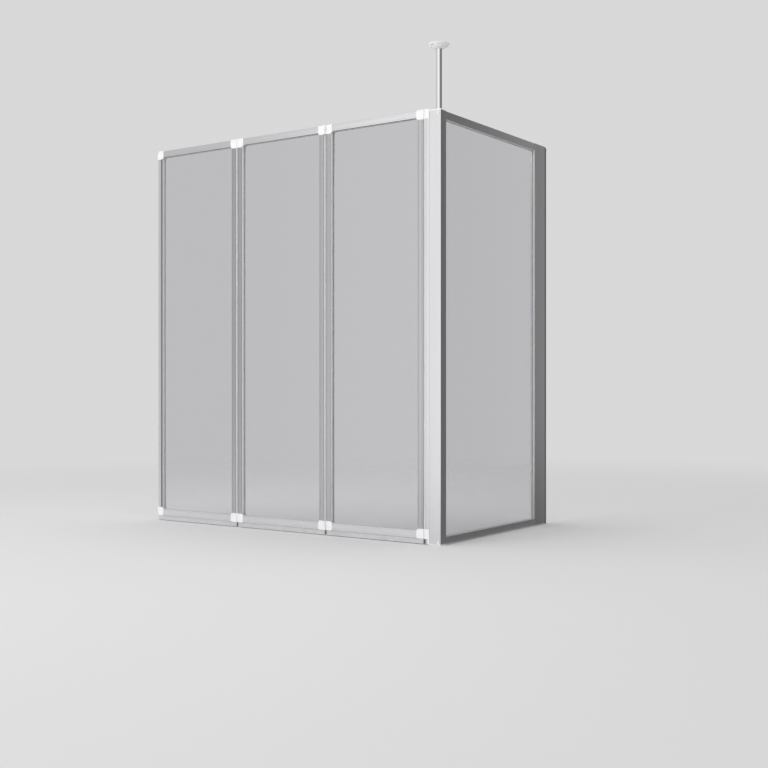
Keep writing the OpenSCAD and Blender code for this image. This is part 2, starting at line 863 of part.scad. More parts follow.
module side_rail_screw_caps() {
    color(WHITE) for (z = [side_boss, post_top - side_boss])
        translate([side_x, post_front, z]) rotate([90, 0, 0]) {
            cylinder(r1 = cover_r, r2 = cover_r - cover_step, h = cover_h);
            translate([0, 0, -post_wall - cover_grip])
                cylinder(r = cover_r - cover_step - fit, h = post_wall + cover_grip + e);
        }
}

module wall_profile() {
    color(ALU_SIDE) translate([wall_profile_x0, side_y1 - wall_profile_d, 0]) difference() {
        linear_extrude(post_top - wall_cap_h) difference() {
            cornered(wall_profile_w, wall_profile_d, [0, 0, wall_edge_r, wall_edge_r]);
            translate([profile_wall, -e])
                square([wall_profile_w - 2 * profile_wall, wall_profile_d - 2 * profile_wall + e]);
        }
        for (i = [-1:1])
            translate([wall_profile_w / 2, wall_profile_d + e,
                       screen_h / 2 + i * wall_hole_pitch]) rotate([90, 0, 0])
                cylinder(r = wall_hole_r, h = 3 * profile_wall);
        for (z = lock_z)
            translate([-e, lock_y - side_y1 + wall_profile_d, z]) rotate([0, 90, 0])
                cylinder(r = screw_r + fit, h = profile_wall + 2 * e);
    }
}

module wall_profile_cap() {
    inside = wall_profile_w - 2 * profile_wall - 2 * fit;
    color(ALU_SIDE) {
        translate([wall_profile_x0, sleeve_end + fit, post_top - wall_cap_h])
            mirror([1, 0, 0]) rotate([0, -90, 0]) linear_extrude(wall_profile_w)
                cornered(wall_cap_h, wall_show - fit, [0, 0, cap_corner_r, 0]);
        translate([wall_profile_x0 + profile_wall + fit, sleeve_end + 1,
                   post_top - wall_cap_h - cap_tenon])
            cube([inside, wall_show - 2 * profile_wall - 1 - fit, cap_tenon + 1]);
    }
}

module side_adjusting_screws() {
    color(STEEL) for (z = lock_z)
        translate([side_x0, lock_y, z]) rotate([0, -90, 0])
            screw(sleeve_wall + slide_fit + profile_wall + lock_thread);
}

module side_adjusting_screw_caps() {
    color(WHITE) for (z = lock_z)
        translate([side_x0, lock_y, z]) rotate([0, -90, 0]) difference() {
            cylinder(r1 = head_r + 2 * cover_h, r2 = head_r + cover_h, h = head_h + cover_h);
            translate([0, 0, -e]) cylinder(r = head_r + fit, h = head_h + fit + e);
        }
}

// ==== What is drawn

wall_profile();
wall_profile_cap();
side_wall_stile();
side_top_rail();
side_bottom_rail();
side_glass();
side_gasket();
side_adjusting_screws();
side_adjusting_screw_caps();
side_rail_screws();
side_rail_screw_caps();
corner_post();
post_top_cap();
post_foot_cap();
support_pole();
ceiling_flange();
flange_grub_screw();
fixed_stile();
fixed_stile_screws();
fixed_hinge_blocks();
fixed_block_screws();
hinge_pins(0, axis_back);  // fixed_hinge_pins
fixed_stile_at() seam_seal();  // fixed_seam_seal
fixed_rim_seal();

panel_frame(0) right_hand() panel_stile(false);  // right_panel_right_stile
panel_frame(0) panel_stile(false);  // right_panel_left_stile
panel_frame(0) top_rail();  // right_panel_top_rail
panel_frame(0) bottom_rail();  // right_panel_bottom_rail
panel_frame(0) panel_glass();  // right_panel_glass
panel_frame(0) panel_gasket();  // right_panel_gasket
panel_frame(0) right_hand() left_blocks(axis_back, true);  // right_panel_right_blocks
panel_frame(0) left_blocks(axis_front, false);  // right_panel_left_blocks
panel_frame(0) panel_screws();  // right_panel_screws
panel_frame(0) bottom_seal();  // right_panel_bottom_seal
hinge_pins(1, axis_front);  // right_panel_hinge_pins

panel_frame(1) right_hand() panel_stile(true);  // middle_panel_right_stile
panel_frame(1) panel_stile(false);  // middle_panel_left_stile
panel_frame(1) top_rail();  // middle_panel_top_rail
panel_frame(1) bottom_rail();  // middle_panel_bottom_rail
panel_frame(1) panel_glass();  // middle_panel_glass
panel_frame(1) panel_gasket();  // middle_panel_gasket
panel_frame(1) right_hand() left_blocks(axis_front, true);  // middle_panel_right_blocks
panel_frame(1) left_blocks(axis_back, false);  // middle_panel_left_blocks
panel_frame(1) panel_screws();  // middle_panel_screws
panel_frame(1) bottom_seal();  // middle_panel_bottom_seal
hinge_pins(2, axis_back);  // middle_panel_hinge_pins
panel_frame(1) right_hand() seam_seal();  // middle_panel_seam_seal

panel_frame(2) right_hand() panel_stile(true);  // left_panel_right_stile
panel_frame(2) color(ALU) translate([0, 0, frame_z0])  // left_panel_free_stile
        linear_extrude(frame_z1 - frame_z0) free_section();
panel_frame(2) top_rail();  // left_panel_top_rail
panel_frame(2) bottom_rail();  // left_panel_bottom_rail
panel_frame(2) panel_glass();  // left_panel_glass
panel_frame(2) panel_gasket();  // left_panel_gasket
panel_frame(2) right_hand() left_blocks(axis_back, true);  // left_panel_right_blocks
panel_frame(2) left_blocks(undef, false, free_corner);  // left_panel_free_blocks
panel_frame(2) panel_screws();  // left_panel_screws
panel_frame(2) bottom_seal();  // left_panel_bottom_seal
panel_frame(2) right_hand() seam_seal();  // left_panel_seam_seal
panel_frame(2) edge_seal();  // left_panel_edge_seal
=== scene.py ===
import math

import bpy
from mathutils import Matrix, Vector


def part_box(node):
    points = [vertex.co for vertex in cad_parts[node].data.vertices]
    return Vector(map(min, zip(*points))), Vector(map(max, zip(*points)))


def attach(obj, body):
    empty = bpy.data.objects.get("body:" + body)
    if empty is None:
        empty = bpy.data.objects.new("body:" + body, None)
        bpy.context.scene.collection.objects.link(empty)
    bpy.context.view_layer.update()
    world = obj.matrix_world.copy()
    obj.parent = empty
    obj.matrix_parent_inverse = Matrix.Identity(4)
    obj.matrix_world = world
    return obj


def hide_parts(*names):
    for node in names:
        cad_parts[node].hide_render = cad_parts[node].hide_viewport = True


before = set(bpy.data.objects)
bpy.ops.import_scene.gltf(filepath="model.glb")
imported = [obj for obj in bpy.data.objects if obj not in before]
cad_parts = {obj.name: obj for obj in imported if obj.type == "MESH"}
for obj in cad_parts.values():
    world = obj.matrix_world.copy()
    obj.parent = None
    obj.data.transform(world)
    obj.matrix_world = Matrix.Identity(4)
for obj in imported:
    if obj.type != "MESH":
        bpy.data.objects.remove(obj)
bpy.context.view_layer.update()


# ---- Wall profile and its cap ----------------------------------------------------------
# The first piece to be screwed on is an aluminium U profile. Only its outer strip shows,
# with a cap on top whose outer corner is round. A bar is pulled from its flat section.
MM = 0.001
HAIR = 0.001 * MM  # places that are nearer than this are one
X, Y, Z = range(3)
TURNS = [(0, math.pi / 2, 0), (math.pi / 2, 0, 0), (0, 0, 0)]  # from upright to each axis


class Value:
    """A shader socket that is worked with by operators, each adding its Math node."""

    def __init__(self, tree, socket):
        self.tree, self.socket = tree, socket

    def result(self, operation, *terms):
        return node(self.tree, "ShaderNodeMath", {"operation": operation}, terms)

    def __add__(self, other):
        return self.result("ADD", self, other)

    def __sub__(self, other):
        return self.result("SUBTRACT", self, other)

    def __rsub__(self, other):
        return self.result("SUBTRACT", other, self)

    def __mul__(self, other):
        return self.result("MULTIPLY", self, other)

    __radd__, __rmul__ = __add__, __mul__

    def at_least(self, limit):
        return self.result("MAXIMUM", self, limit)

    def at_most(self, limit):
        return self.result("MINIMUM", self, limit)


def node(tree, kind, settings, inputs, output=0):
    """Adds a node, sets its settings, then its sockets by number or by name."""
    made = tree.nodes.new(kind)
    for name, setting in settings.items():
        setattr(made, name, setting)
    for key, value in inputs.items() if isinstance(inputs, dict) else enumerate(inputs):
        if isinstance(value, Value):
            tree.links.new(value.socket, made.inputs[key])
        else:
            made.inputs[key].default_value = value
    return Value(tree, made.outputs[output]) if made.outputs else None


def new_material(name):
    """An empty node material and its tree."""
    material = bpy.data.materials.new(name)
    material.use_nodes = True
    material.node_tree.nodes.clear()
    return material, material.node_tree


def noise(tree, scale, detail=2.0, roughness=0.5):
    """Noise on Object coordinates, with a scale for each axis."""
    here = node(tree, "ShaderNodeTexCoord", {}, (), "Object")
    placed = node(tree, "ShaderNodeMapping", {}, {"Vector": here, "Scale": scale})
    return node(tree, "ShaderNodeTexNoise", {},
                {"Vector": placed, "Scale": 1.0, "Detail": detail, "Roughness": roughness})


def blend_colours(tree, mask, first, second):
    return node(tree, "ShaderNodeMix", {"data_type": "RGBA"},
                {0: mask, 6: (*first, 1), 7: (*second, 1)}, 2)


def bump(tree, height, depth, strength):
    return node(tree, "ShaderNodeBump", {},
                {"Strength": strength, "Distance": depth, "Height": height})


def surface(tree, **sockets):
    """Principled shader with the named sockets, joined to the output."""
    shader = node(tree, "ShaderNodeBsdfPrincipled", {},
                  {name.replace("_", " "): value for name, value in sockets.items()})
    node(tree, "ShaderNodeOutputMaterial", {}, {"Surface": shader})


def anodised(name, along, tone, rough=0.30):
    """Satin anodised aluminium, with the die's faint lines along the bar and an anodising
    that is a little uneven from end to end."""
    def drawn_out(lengthways, sideways):
        return [lengthways if k == along else sideways for k in range(3)]

    material, tree = new_material(name)
    lines = noise(tree, drawn_out(3, 2600), 3.0)
    drift = noise(tree, drawn_out(1.6, 30), 1.0)
    bands = noise(tree, drawn_out(1.2, 240))
    colour = blend_colours(tree, lines * 0.5 + drift * 0.5,
                           [0.90 * tone, 0.90 * tone, 0.91 * tone],
                           [1.06 * tone, 1.06 * tone, 1.08 * tone])
    surface(tree, Base_Color=colour, Metallic=1.0,
            Roughness=lines * 0.12 + bands * 0.10 + (rough - 0.11),
            Normal=bump(tree, lines + bands, 0.01 * MM, 0.5))
    return material


def alone(piece):
    """Object mode, with this piece alone selected."""
    bpy.ops.object.mode_set(mode="OBJECT")
    bpy.ops.object.select_all(action="DESELECT")
    piece.select_set(True)
    bpy.context.view_layer.objects.active = piece


def edit(piece, kind="VERT"):
    """Edit mode, with nothing selected."""
    alone(piece)
    bpy.ops.object.mode_set(mode="EDIT")
    bpy.ops.mesh.select_mode(type=kind)
    bpy.ops.mesh.select_all(action="DESELECT")


def pick(piece, kind, test):
    """Edit mode, with the vertices or faces selected whose place passes the test."""
    edit(piece, kind)
    bpy.ops.object.mode_set(mode="OBJECT")
    if kind == "VERT":
        for vertex in piece.data.vertices:
            vertex.select = test(vertex.co)
    else:
        for face in piece.data.polygons:
            face.select = test(face.center)
    bpy.ops.object.mode_set(mode="EDIT")


def settle(piece):
    """Puts the object's place into its mesh."""
    alone(piece)
    bpy.ops.object.transform_apply(location=True, rotation=True, scale=True)


def smooth(piece, angle=35):
    settle(piece)
    bpy.ops.object.shade_smooth_by_angle(angle=math.radians(angle))


def within(boxes, along, at):
    """Whether a point lies in one of the boxes, seen along one axis."""
    return any(all(k == along or low[k] - HAIR < at[k] < high[k] + HAIR for k in range(3))
               for low, high in boxes)


def flat_section(name, along, low, high, notches):
    """Rectangle at the bar's low end, cut along the edges of the notches, which are then
    taken out of it."""
    start = (low + high) / 2
    start[along] = low[along]
    bpy.ops.object.select_all(action="DESELECT")
    bpy.ops.mesh.primitive_plane_add(size=1, location=start, rotation=TURNS[along])
    piece = bpy.context.active_object
    piece.name = piece.data.name = name
    bpy.ops.object.transform_apply(location=False, rotation=True, scale=False)
    piece.scale = [1 if k == along else high[k] - low[k] for k in range(3)]
    settle(piece)
    edit(piece)
    for corner in [corner for notch in notches for corner in notch]:
        for k in range(3):
            if k != along and low[k] + HAIR < corner[k] < high[k] - HAIR:
                bpy.ops.mesh.select_all(action="SELECT")
                bpy.ops.mesh.bisect(plane_co=corner, plane_no=[j == k for j in range(3)])
    if notches:
        pick(piece, "FACE", lambda at: within(notches, along, at))
        bpy.ops.mesh.delete(type="FACE")
        bpy.ops.mesh.select_all(action="SELECT")
        bpy.ops.mesh.dissolve_limited(angle_limit=0.01)
    return piece


def bar(name, along, low, high, notches=(), radii=(), rest=0.4 * MM):
    """Extruded bar between two corners. Its section gets each radius at the point that
    goes with it and the last one at all its other corners."""
    low, high = Vector(low), Vector(high)
    piece = flat_section(name, along, low, high, notches)
    rounded = []
    for radius, point in radii:
        pick(piece, "VERT", lambda at: within([(point, point)], along, at))
        bpy.ops.mesh.bevel(offset=radius, segments=6, affect="VERTICES")
        rounded.append(([c - radius for c in point], [c + radius for c in point]))
    pick(piece, "VERT", lambda at: not within(rounded, along, at))
    bpy.ops.mesh.bevel(offset=rest, segments=3, affect="VERTICES")
    edit(piece, "FACE")
    bpy.ops.mesh.select_all(action="SELECT")
    pull = [high[along] - low[along] if k == along else 0 for k in range(3)]
    bpy.ops.mesh.extrude_region_move(TRANSFORM_OT_translate={"value": pull})
    bpy.ops.mesh.select_all(action="SELECT")
    bpy.ops.mesh.normals_make_consistent(inside=False)
    smooth(piece)
    return piece


def modify(piece, kind, **settings):
    """Adds a modifier, sets it and applies it."""
    settle(piece)
    modifier = piece.modifiers.new(kind.lower(), kind)
    for key, value in settings.items():
        setattr(modifier, key, value)
    bpy.ops.object.modifier_apply(modifier=modifier.name)


def soften(piece, width, segments=3):
    """Rounds every sharp edge."""
    modify(piece, "BEVEL", width=width, segments=segments, limit_method="ANGLE",
           angle_limit=math.radians(40), use_clamp_overlap=False)
    smooth(piece)


def rod(along, radius, middle, length, steps=40):
    """Cylinder along one axis."""
    bpy.ops.object.select_all(action="DESELECT")
    bpy.ops.mesh.primitive_cylinder_add(vertices=steps, radius=radius, depth=length,
                                        location=middle, rotation=TURNS[along])
    made = bpy.context.active_object
    settle(made)
    return made


def shape(piece, operation, tool):
    """Joins a tool to the piece or cuts it out, and removes the tool."""
    modify(piece, "BOOLEAN", operation=operation, object=tool, solver="MANIFOLD")
    bpy.data.objects.remove(tool)
    smooth(piece)


def body_of(name):
    panel = name.split("_panel")[0]
    return f"{panel}_panel" if panel in ("right", "middle", "left") else "fixed_frame"


def dress(piece, material, slot, *names):
    """The piece gets its finish and stands for these CAD nodes on their body. Its flat
    faces are weighted so that they stay flat beside their rounded edges."""
    modify(piece, "WEIGHTED_NORMAL", keep_sharp=True)
    if not any(piece.data.materials):
        piece.data.materials.clear()
        piece.data.materials.append(material)
    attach(piece, body_of(names[0]))
    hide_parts(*names)


wall, fixing_r, fixing_heights = 1.8 * MM, 2.5 * MM, (0.2, 0.7, 1.2)
profile_round, cap_round, cap_depth = 3 * MM, 10 * MM, 18 * MM
# Tone 0.31 is painted shade: it darkens the strip set back beside the wall stile, and its cap.
wall_metal_painted_shade = anodised("wall_channel_painted_shade", Z, 0.31, 0.36)
low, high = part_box("wall_profile")
profile = bar("wall_channel", Z, low, high,
              notches=[((low.x + wall, low.y, 0), (high.x - wall, high.y - wall, 0))],
              radii=[(profile_round, (x, high.y, 0)) for x in (low.x, high.x)],
              rest=0.3 * MM)
for height in fixing_heights:
    shape(profile, "DIFFERENCE",
          rod(Y, fixing_r, ((low.x + high.x) / 2, high.y, height), 4 * wall))
dress(profile, wall_metal_painted_shade, "aluminium", "wall_profile")

cap_low, cap_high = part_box("wall_profile_cap")
cap_low.z, cap_low.y = high.z, cap_high.y - cap_depth
cap = bar("wall_channel_cap", X, cap_low, cap_high,
          radii=[(cap_round, (0, cap_high.y, cap_high.z))])
soften(cap, 0.8 * MM)
dress(cap, wall_metal_painted_shade, "grey_plastic", "wall_profile_cap")


# ---- Wall stile ------------------------------------------------------------------------
# A wide aluminium upright slides over the wall profile, and steel screws under white caps
# lock it there. Its front bar holds the glass and has a fine line along both faces.
def metal(name, tone, rough):
    """Bare steel or chrome, with a slight haze."""
    material, tree = new_material(name)
    haze = noise(tree, (160, 160, 160), 3.0)
    colour = blend_colours(tree, haze, [0.95 * c for c in tone], tone)
    surface(tree, Base_Color=colour, Metallic=1.0, Roughness=haze * 0.5 * rough + 0.75 * rough)
    return material


def moulded(name, tone, rough):
    """Gloss white plastic with the faint orange peel of its mould."""
    material, tree = new_material(name)
    peel = noise(tree, (900, 900, 900))
    cloud = noise(tree, (60, 60, 60), 3.0)
    colour = blend_colours(tree, cloud, [0.97 * c for c in tone], tone)
    surface(tree, Base_Color=colour, Roughness=cloud * 0.12 + (rough - 0.06), IOR=1.49,
            Normal=bump(tree, peel, 0.02 * MM, 0.12))
    return material


def paint_light_on_faces(piece, first, second, test):
    """Two materials on one piece: a painted highlight or shade on the faces that pass the test.
    """
    piece.data.materials.clear()
    piece.data.materials.append(first)
    piece.data.materials.append(second)
    pick(piece, "FACE", test)
    piece.active_material_index = 1
    bpy.ops.object.material_slot_assign()
    settle(piece)


def keep(material, *names):
    """CAD nodes whose shape stays get only a finish."""
    for name in names:
        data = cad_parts[name].data
        data.materials.clear()
        data.materials.append(material)


channel, channel_deep, front_bar, front_edge = 6 * MM, 10 * MM, 16 * MM, 2 * MM
line_y, line_h, line_deep = 5.5 * MM, 1 * MM, 0.6 * MM
side_metal_z = anodised("anodised_side_upright", Z, 0.74, 0.34)
# A lighter aluminium put on narrow edges and inner walls as a painted highlight: it stands for
# the bright surroundings they would mirror.
painted_highlight_metal = anodised("painted_highlight_metal", Z, 0.95, 0.26)
steel = metal("stainless_steel", (0.62, 0.62, 0.63), 0.28)
white_plastic = moulded("white_plastic", (0.93, 0.93, 0.935), 0.28)

low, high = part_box("side_wall_stile")
middle_x = (low.x + high.x) / 2
line_low, line_high = low.y + line_y, low.y + line_y + line_h
stile = bar("wall_stile", Z, low, high, notches=[
    ((middle_x - channel / 2, low.y, 0), (middle_x + channel / 2, low.y + channel_deep, 0)),
    ((low.x + wall, low.y + front_bar, 0), (high.x - wall, high.y, 0)),
    ((low.x, line_low, 0), (low.x + line_deep, line_high, 0)),
    ((high.x - line_deep, line_low, 0), (high.x, line_high, 0))],
    radii=[(profile_round, (x, low.y, 0)) for x in (low.x, high.x)], rest=0.3 * MM)
# The front 2 mm of the wall stile gets the painted highlight.
paint_light_on_faces(stile, side_metal_z, painted_highlight_metal, lambda at: at.y < low.y + front_edge)
dress(stile, side_metal_z, "aluminium", "side_wall_stile")
keep(steel, "side_adjusting_screws")
keep(white_plastic, "side_adjusting_screw_caps")


# ---- Side rails ------------------------------------------------------------------------
# Two aluminium rails lie between the post and the wall stile, held by long screws, with
# the channel of the fixed pane on their inner edge. The upper one is the lower one turned over.
def copy_of(piece, name, move=(0, 0, 0), flip=None):
    """Copy with its own mesh, moved, or mirrored across the plane where flip = 0 first."""
    twin = piece.copy()
    twin.data = piece.data.copy()
    twin.name = twin.data.name = name
    bpy.context.scene.collection.objects.link(twin)
    twin.location = move
    if flip is not None:
        twin.scale[flip] = -1
    settle(twin)
    if flip is not None:
        edit(twin, "FACE")
        bpy.ops.mesh.select_all(action="SELECT")
        bpy.ops.mesh.normals_make_consistent(inside=False)
        settle(twin)
    return twin


edge_depth = 0.9 * MM
side_metal_y = anodised("anodised_side_rail", Y, 0.84, 0.34)
low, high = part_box("side_bottom_rail")
rail = bar("side_rail_lower", Y, low, high, notches=[
    ((middle_x - channel / 2, 0, high.z - channel_deep), (middle_x + channel / 2, 0, high.z))],
    radii=[(radius, (x, 0, z)) for radius, z in ((1.2 * MM, low.z), (0.8 * MM, high.z))
           for x in (low.x, high.x)])
# The rail's inner edge by the glass gets the painted highlight.
paint_light_on_faces(rail, side_metal_y, painted_highlight_metal, lambda at: at.z > high.z - edge_depth)
upper = copy_of(rail, "side_rail_upper", (0, 0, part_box("side_top_rail")[1].z), flip=Z)
dress(rail, side_metal_y, "aluminium", "side_bottom_rail")
dress(upper, side_metal_y, "aluminium", "side_top_rail")
keep(steel, "side_rail_screws")


# ---- Fixed pane and its glazing rubber -------------------------------------------------
# Clear 3 mm safety glass in a rubber channel, whose lips show as a line along the metal.
# The rubber is a strip with a slot, pressed into the channel of each bar.
def clear_glass(name, tint, shade):
    """Glass that bends light, and lets a lamp's light through with a tint."""
    material, tree = new_material(name)
    smear = noise(tree, (7, 7, 3), 4.0)
    pane = node(tree, "ShaderNodeBsdfPrincipled", {},
                {"Base Color": (*tint, 1), "Roughness": smear * 0.02, "IOR": 1.5,
                 "Transmission Weight": 1.0})
    let_through = node(tree, "ShaderNodeBsdfTransparent", {}, {"Color": (*shade, 1)})
    lamp_ray = node(tree, "ShaderNodeLightPath", {}, (), "Is Shadow Ray")
    mixed = node(tree, "ShaderNodeMixShader", {}, {0: lamp_ray, 1: pane, 2: let_through})
    node(tree, "ShaderNodeOutputMaterial", {}, {"Surface": mixed})
    return material


def rubber(name, tone, rough):
    """Matt rubber or soft PVC, a little patchy."""
    material, tree = new_material(name)
    grain = noise(tree, (1500, 1500, 1500))
    patch = noise(tree, (40, 40, 40))
    colour = blend_colours(tree, patch, [0.85 * c for c in tone], [1.15 * c for c in tone])
    surface(tree, Base_Color=colour, Roughness=grain * 0.15 + (rough - 0.07),
            Normal=bump(tree, grain, 0.03 * MM, 0.4))
    return material


strip_half, wing, slot_half = 3.5 * MM, 0.5 * MM, 1.55 * MM
strip_root, strip_lip, lip_round = 1.5 * MM, 1.6 * MM, 0.7 * MM


def glazing(name, ends, pane, across, axis, sign):
    """Rubber strip on one edge of a pane. ends are those of the metal's inner edge, across
    is the axis through the glass, and the glass lies from the metal towards sign on axis."""
    low, high = Vector(ends[0]), Vector(ends[1])
    metal_at = low[axis]
    glass_edge = pane[0][axis] if sign > 0 else pane[1][axis]
    centre = (pane[0][across] + pane[1][across]) / 2
    root, tip = glass_edge - sign * strip_root, metal_at + sign * strip_lip
    low[axis], high[axis] = min(root, tip), max(root, tip)
    low[across], high[across] = centre - strip_half, centre + strip_half

    def spot(on_axis, aside):
        """Point of the section, by its place on axis and its distance from mid-glass."""
        point = Vector((0, 0, 0))
        point[axis], point[across] = on_axis, centre + aside
        return point

    def cut(a, b, from_middle, to_middle):
        return spot(min(a, b), from_middle), spot(max(a, b), to_middle)

    return bar(name, 3 - axis - across, low, high,
               notches=[cut(glass_edge, tip, -slot_half, slot_half),
                        cut(root, metal_at, -strip_half, wing - strip_half),
                        cut(root, metal_at, strip_half - wing, strip_half)],
               radii=[(lip_round, spot(tip, side)) for side in (-strip_half, strip_half)],
               rest=0.15 * MM)


def join(first, *others):
    settle(first)
    for other in others:
        other.select_set(True)
    bpy.ops.object.join()
    return first


def rubber_round(name, pane, across, opening, upright_span, rail_span):
    """The four strips round a pane as one piece. The opening lies between two corners of
    the metal, and each span is where the upright or the level strips begin and end."""
    sideways = Y if across == X else X
    strips = []
    for axis, along, span in ((sideways, Z, upright_span), (Z, sideways, rail_span)):
        for corner, sign in zip(opening, (1, -1)):
            ends = Vector(corner), Vector(corner)
            ends[0][along], ends[1][along] = span
            strips.append(glazing(name, ends, pane, across, axis, sign))
    return join(*strips)


glass = clear_glass("clear_glass", (0.835, 0.822, 0.842), (0.86, 0.86, 0.87))
glazing_rubber = rubber("glazing_rubber", (0.60, 0.60, 0.605), 0.62)
rail_top, rail_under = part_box("side_bottom_rail")[1].z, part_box("side_top_rail")[0].z
post_back, stile_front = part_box("side_bottom_rail")[0].y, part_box("side_wall_stile")[0].y
side_rubber = rubber_round("side_rubber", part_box("side_glass"), X,
                           ((0, post_back, rail_top), (0, stile_front, rail_under)),
                           (rail_top, rail_under), (post_back, stile_front))
dress(side_rubber, glazing_rubber, "dark_rubber", "side_gasket")
keep(glass, "side_glass")


# ---- Corner post and its plates --------------------------------------------------------
# The aluminium post has well-rounded front corners and takes the fixed pane in a channel.
# White plastic plates close its ends, and round covers hide the screws of the side rails.
def corners_of(low, high, radius, along=Z):
    """The four corners of a section seen along an axis, with one radius."""
    a, b = [k for k in range(3) if k != along]
    found = []
    for p in (low[a], high[a]):
        for q in (low[b], high[b]):
            point = Vector((0, 0, 0))
            point[a], point[b] = p, q
            found.append((radius, point))
    return found


post_round, back_round = 2.5 * MM, 0.8 * MM
post_metal = anodised("anodised_post", Z, 0.86)
low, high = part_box("corner_post")
post = bar("post_tube", Z, low, high, notches=[
    ((middle_x - channel / 2, high.y - channel_deep, 0), (middle_x + channel / 2, high.y, 0))],
    radii=[(radius, (x, y, 0)) for x in (low.x, high.x)
           for radius, y in ((post_round, low.y), (back_round, high.y))])
dress(post, post_metal, "aluminium", "corner_post")

foot_low, foot_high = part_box("post_foot_cap")
foot_high.z = low.z
foot = bar("post_foot_plate", Z, foot_low, foot_high,
           radii=corners_of(foot_low, foot_high, post_round))
soften(foot, 0.5 * MM)
plate = copy_of(foot, "post_top_plate", (0, 0, high.z))
dress(foot, white_plastic, "white_plastic", "post_foot_cap")
dress(plate, white_plastic, "white_plastic", "post_top_cap")

low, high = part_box("side_rail_screw_caps")
cover_r, cover_h = (high.x - low.x) / 2, 1.2 * MM
cover = rod(Y, cover_r, ((low.x + high.x) / 2, low.y + cover_h / 2, low.z + cover_r), cover_h)
pick(cover, "FACE", lambda at: at.y < low.y + HAIR)
bpy.ops.mesh.bevel(offset=0.8 * MM, segments=4, affect="EDGES")
bpy.ops.mesh.inset(thickness=1.6 * MM, depth=-0.15 * MM)
smooth(cover, 50)
cover.name = "rail_screw_covers"
covers = join(cover, copy_of(cover, "upper_cover", (0, 0, high.z - low.z - 2 * cover_r)))
dress(covers, white_plastic, "white_plastic", "side_rail_screw_caps")


# ---- Pole and flange -------------------------------------------------------------------
# A chromed tube stands on the post's top plate and ends in a white turned flange, which is
# domed on its underside and has three countersunk screw holes and a grub screw.
def turned(name, x, rings, steps=72):
    """Body turned about an upright axis at x: a circle is pulled from ring to ring, each
    ring a radius and a height, and the last one meets the first."""
    radius, height = rings[0]
    bpy.ops.object.select_all(action="DESELECT")
    bpy.ops.mesh.primitive_circle_add(vertices=steps, radius=radius, location=(x, 0, height))
    piece = bpy.context.active_object
    piece.name = piece.data.name = name
    settle(piece)
    edit(piece, "EDGE")
    bpy.ops.mesh.select_all(action="SELECT")
    for wide, tall in rings[1:] + rings[:1]:
        bpy.ops.mesh.extrude_region_move(
            TRANSFORM_OT_translate={"value": (0, 0, tall - height)})
        bpy.ops.transform.resize(value=(wide / radius, wide / radius, 1),
                                 center_override=(x, 0, 0))
        radius, height = wide, tall
    bpy.ops.mesh.select_all(action="SELECT")
    bpy.ops.mesh.remove_doubles(threshold=HAIR)
    bpy.ops.mesh.normals_make_consistent(inside=False)
    smooth(piece)
    return piece


chrome = metal("chrome", (0.90, 0.905, 0.91), 0.09)
low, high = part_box("support_pole")
pole_x, pole_r = (low.x + high.x) / 2, (high.x - low.x) / 2
bore, chamfer = pole_r - 1.5 * MM, 0.4 * MM
pole = turned("pole_tube", pole_x, [
    (bore, low.z), (pole_r - chamfer, low.z), (pole_r, low.z + chamfer),
    (pole_r, high.z - chamfer), (pole_r - chamfer, high.z), (bore, high.z)])
dress(pole, chrome, "chrome_tube", "support_pole")

dome_h, dome_curve, dome_steps, socket_h, vent_r = 13 * MM, 1.7, 10, 12 * MM, 3 * MM
low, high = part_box("ceiling_flange")
flange_r, neck, socket_r = high.y, pole_r + 2.5 * MM, pole_r + 0.1 * MM
dome_r = flange_r - 1 * MM
dome = [(neck + k / dome_steps * (dome_r - neck), low.z + dome_h * (k / dome_steps) ** dome_curve)
        for k in range(1, dome_steps + 1)]
flange = turned("flange_saucer", pole_x, [
    (socket_r, low.z), (neck - 0.6 * MM, low.z), (neck, low.z + 0.15 * MM), *dome,
    (flange_r - 0.3 * MM, low.z + dome_h + 0.6 * MM), (flange_r, high.z - 1.6 * MM),
    (flange_r - 0.2 * MM, high.z - 0.5 * MM), (flange_r - 0.8 * MM, high.z),
    (vent_r, high.z), (vent_r, low.z + socket_h), (socket_r, low.z + socket_h)])
hole_r, hole_circle, hole_long = 2.25 * MM, 27 * MM, 30 * MM
sink_r, sink_long, sink_at = 4.5 * MM, 20 * MM, high.z - 15 * MM
grub_r, grub_long, grub_at = 2.05 * MM, 20 * MM, (pole_x, 18 * MM, low.z + 6 * MM)
for turn in (15, 135, 255):
    x = pole_x + hole_circle * math.cos(math.radians(turn))
    y = hole_circle * math.sin(math.radians(turn))
    shape(flange, "DIFFERENCE", rod(Z, hole_r, (x, y, high.z), hole_long))
    shape(flange, "DIFFERENCE", rod(Z, sink_r, (x, y, sink_at), sink_long))
shape(flange, "DIFFERENCE", rod(Y, grub_r, grub_at, grub_long))
dress(flange, white_plastic, "white_plastic", "ceiling_flange")
keep(steel, "flange_grub_screw")


# ---- Uprights of the front -------------------------------------------------------------
# The fixed stile beside the post and the stiles of the three panels are one family of
# aluminium bars: a face with fine lines, and a channel for the glass on the inner edge.
# The panel stiles are the rails' aluminium painted darker, tone 0.60, as painted shade.
stile_metal_painted_shade = anodised("stile_painted_shade", Z, 0.60)
free_metal = anodised("anodised_free_stile", Z, 0.90)
# Dark aluminium for the inside of the flute, as painted shade.
flute_painted_shade = anodised("flute_painted_shade_metal", Z, 0.34)
line_w, line_d, first_line, second_line = 1.4 * MM, 1.2 * MM, 5.5 * MM, 20 * MM
panel_channel, outer_round, inner_edge = 11 * MM, 1.6 * MM, 1.2 * MM


def face_lines(low, *places):
    return [((low.x + at - line_w / 2, low.y, 0), (low.x + at + line_w / 2, low.y + line_d, 0))
            for at in places]


def glass_channel(low, high):
    centre = (low.y + high.y) / 2
    return [((high.x - panel_channel, centre - channel / 2, 0),
             (high.x, centre + channel / 2, 0))]


